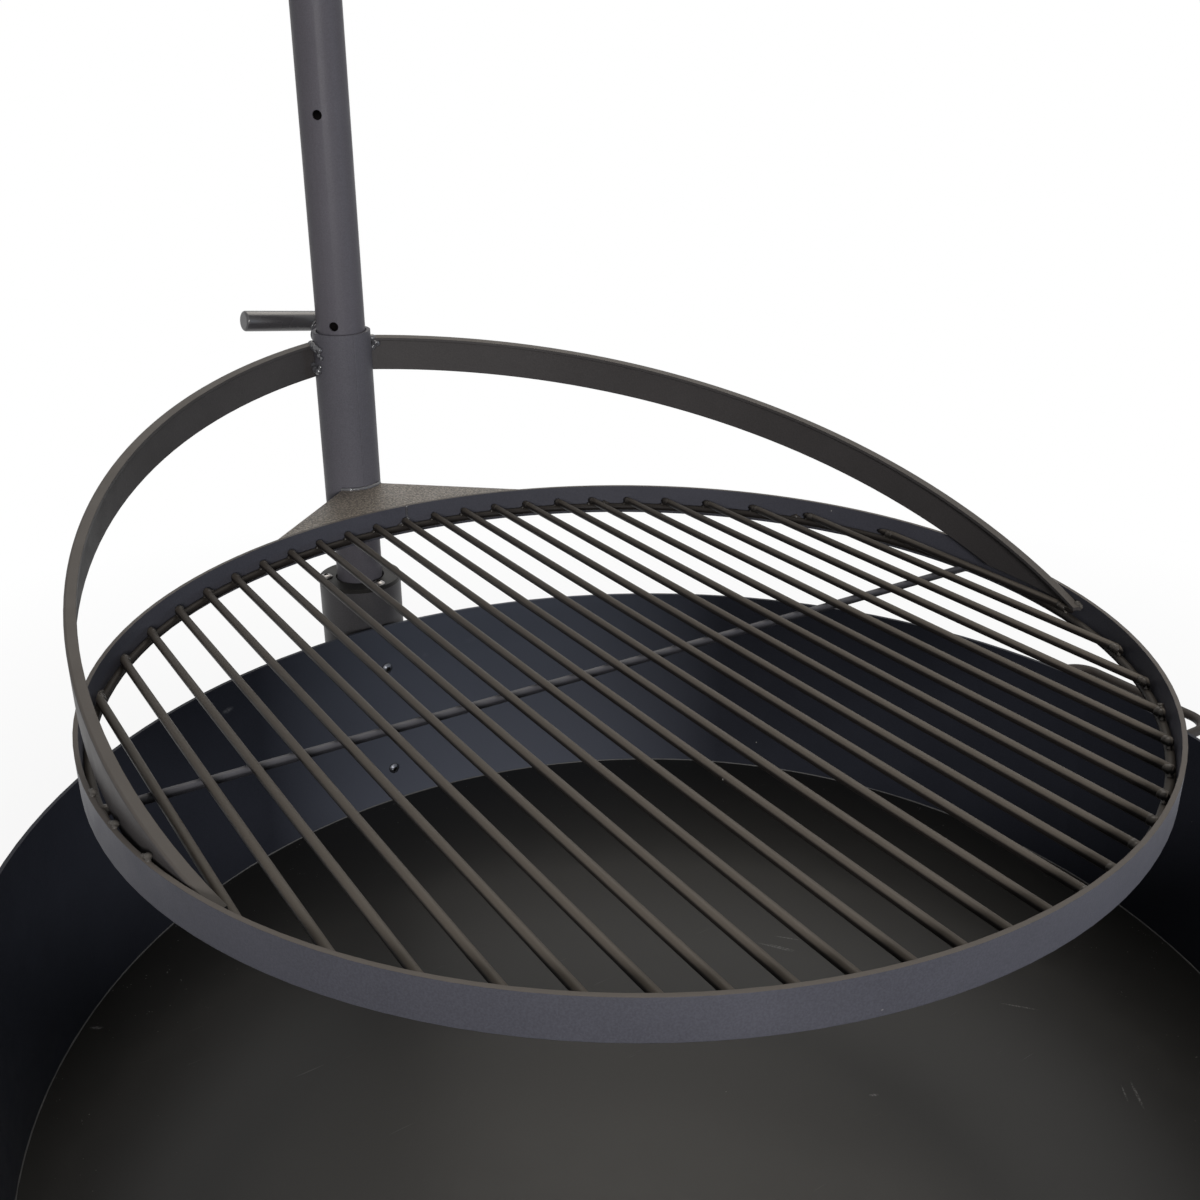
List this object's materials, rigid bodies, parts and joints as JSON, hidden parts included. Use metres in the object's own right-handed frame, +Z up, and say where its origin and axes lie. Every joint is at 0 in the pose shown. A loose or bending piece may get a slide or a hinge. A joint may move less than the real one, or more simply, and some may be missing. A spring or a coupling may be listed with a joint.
{
  "type": "fire pit with swivel grill",
  "caption": "Round sheet-steel fire pit with side handles and a swivelling, height-adjustable round grill grate carried by an arched brace and a locking sleeve on a post.",
  "frame": {"origin": "centre of the fire pit, on the ground under its floor", "axes": "+Z up, +Y from the pit's centre towards the post, +X to the right"},
  "size_m": [1.0182, 1.0115, 0.883],
  "materials": {
    "pit_paint": "fine textured satin black powder coat",
    "grill_paint": "fine textured satin black powder coat",
    "screw_steel": "bright zinc plated",
    "bare_steel": "plain machined",
    "bush_bronze": "machined bearing bronze",
    "pad_plastic": "plain turned plastic"
  },
  "bodies": {
    "base": {"pit_wall": "pit_paint", "pit_floor": "pit_paint", "handle_right": "pit_paint", "handle_left": "pit_paint", "mount_bar": "pit_paint", "wall_screws": "screw_steel", "socket_tube": "pit_paint", "socket_base": "pit_paint", "thrust_pad": "pad_plastic", "lower_bush": "bush_bronze", "upper_bush": "bush_bronze", "lug_ring": "bare_steel", "socket_cap": "pit_paint", "cap_screws": "screw_steel"},
    "post": {"post": "grill_paint", "post_cap": "grill_paint"},
    "carriage": {"sleeve": "grill_paint", "gusset_plate": "grill_paint", "hoop": "grill_paint", "inner_ring": "grill_paint", "grill_bar_01": "grill_paint", "grill_bar_02": "grill_paint", "grill_bar_03": "grill_paint", "grill_bar_04": "grill_paint", "grill_bar_05": "grill_paint", "grill_bar_06": "grill_paint", "grill_bar_07": "grill_paint", "grill_bar_08": "grill_paint", "grill_bar_09": "grill_paint", "grill_bar_10": "grill_paint", "grill_bar_11": "grill_paint", "grill_bar_12": "grill_paint", "grill_bar_13": "grill_paint", "grill_bar_14": "grill_paint", "grill_bar_15": "grill_paint", "grill_bar_16": "grill_paint", "grill_bar_17": "grill_paint", "grill_bar_18": "grill_paint", "grill_bar_19": "grill_paint", "grill_bar_20": "grill_paint", "grill_bar_21": "grill_paint", "grill_bar_22": "grill_paint", "grill_bar_23": "grill_paint", "grill_bar_24": "grill_paint", "cross_rod": "grill_paint", "arch_right": "grill_paint", "arch_left": "grill_paint", "lock_boss": "grill_paint"},
    "tip": {"lock_tip": "bare_steel"},
    "lock": {"lock_screw": "bare_steel", "lock_bar": "grill_paint"}
  },
  "joints": [
    {"name": "post_swivel", "type": "hinge", "parent": "base", "child": "post", "pos_m": [0, 0.494, 0.2], "axis": [0, 0, 1], "continuous": true},
    {"name": "grate_slide", "type": "slide", "parent": "post", "child": "carriage", "axis": [0, 0, 1], "range_m": [-0.06, 0.4]},
    {"name": "tip_slide", "type": "slide", "parent": "carriage", "child": "tip", "axis": [0, 0.8988, 0.4384], "range_m": [0, 0.00263]},
    {"name": "lock_turn", "type": "hinge", "parent": "tip", "child": "lock", "pos_m": [0, 0.5508, 0.4587], "axis": [0, 0.8988, 0.4384], "range_deg": [0, 540]}
  ],
  "couplings": [
    {"joint": "tip_slide", "follows": "lock_turn", "m_per_rad": 0.00027852}
  ]
}
